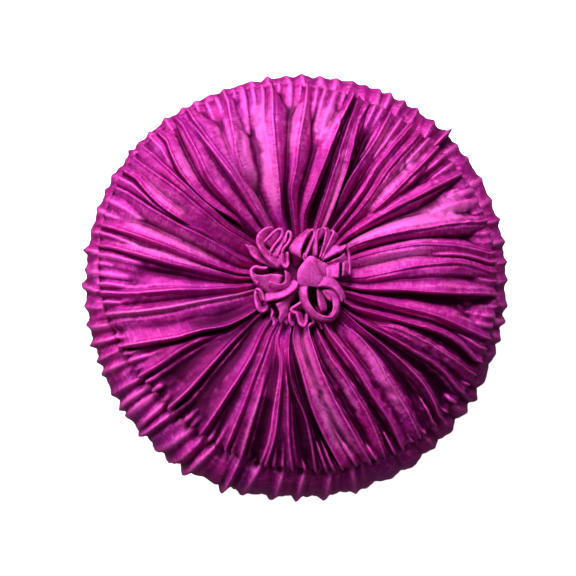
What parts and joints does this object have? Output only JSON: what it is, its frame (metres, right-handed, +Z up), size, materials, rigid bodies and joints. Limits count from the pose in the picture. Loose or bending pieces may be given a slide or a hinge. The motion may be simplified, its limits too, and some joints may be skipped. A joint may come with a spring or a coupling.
{
  "type": "round throw pillow",
  "caption": "Round throw pillow in shiny magenta velvet: face gathered into radial folds, pleated side band, ruffled fabric rosette at the centre.",
  "frame": {"origin": "middle of the underside, on the surface that the pillow lies on", "axes": "+Z up through the pillow towards its face and rosette, +Y towards the top of the picture, +X towards its right"},
  "size_m": [0.3979, 0.4007, 0.1198],
  "materials": {
    "velvet": "crushed stretch velvet with a satin sheen",
    "rosette_velvet": "crushed stretch velvet with a satin sheen"
  },
  "bodies": {
    "root": {"cushion": "velvet", "rosette": "rosette_velvet"}
  },
  "joints": []
}
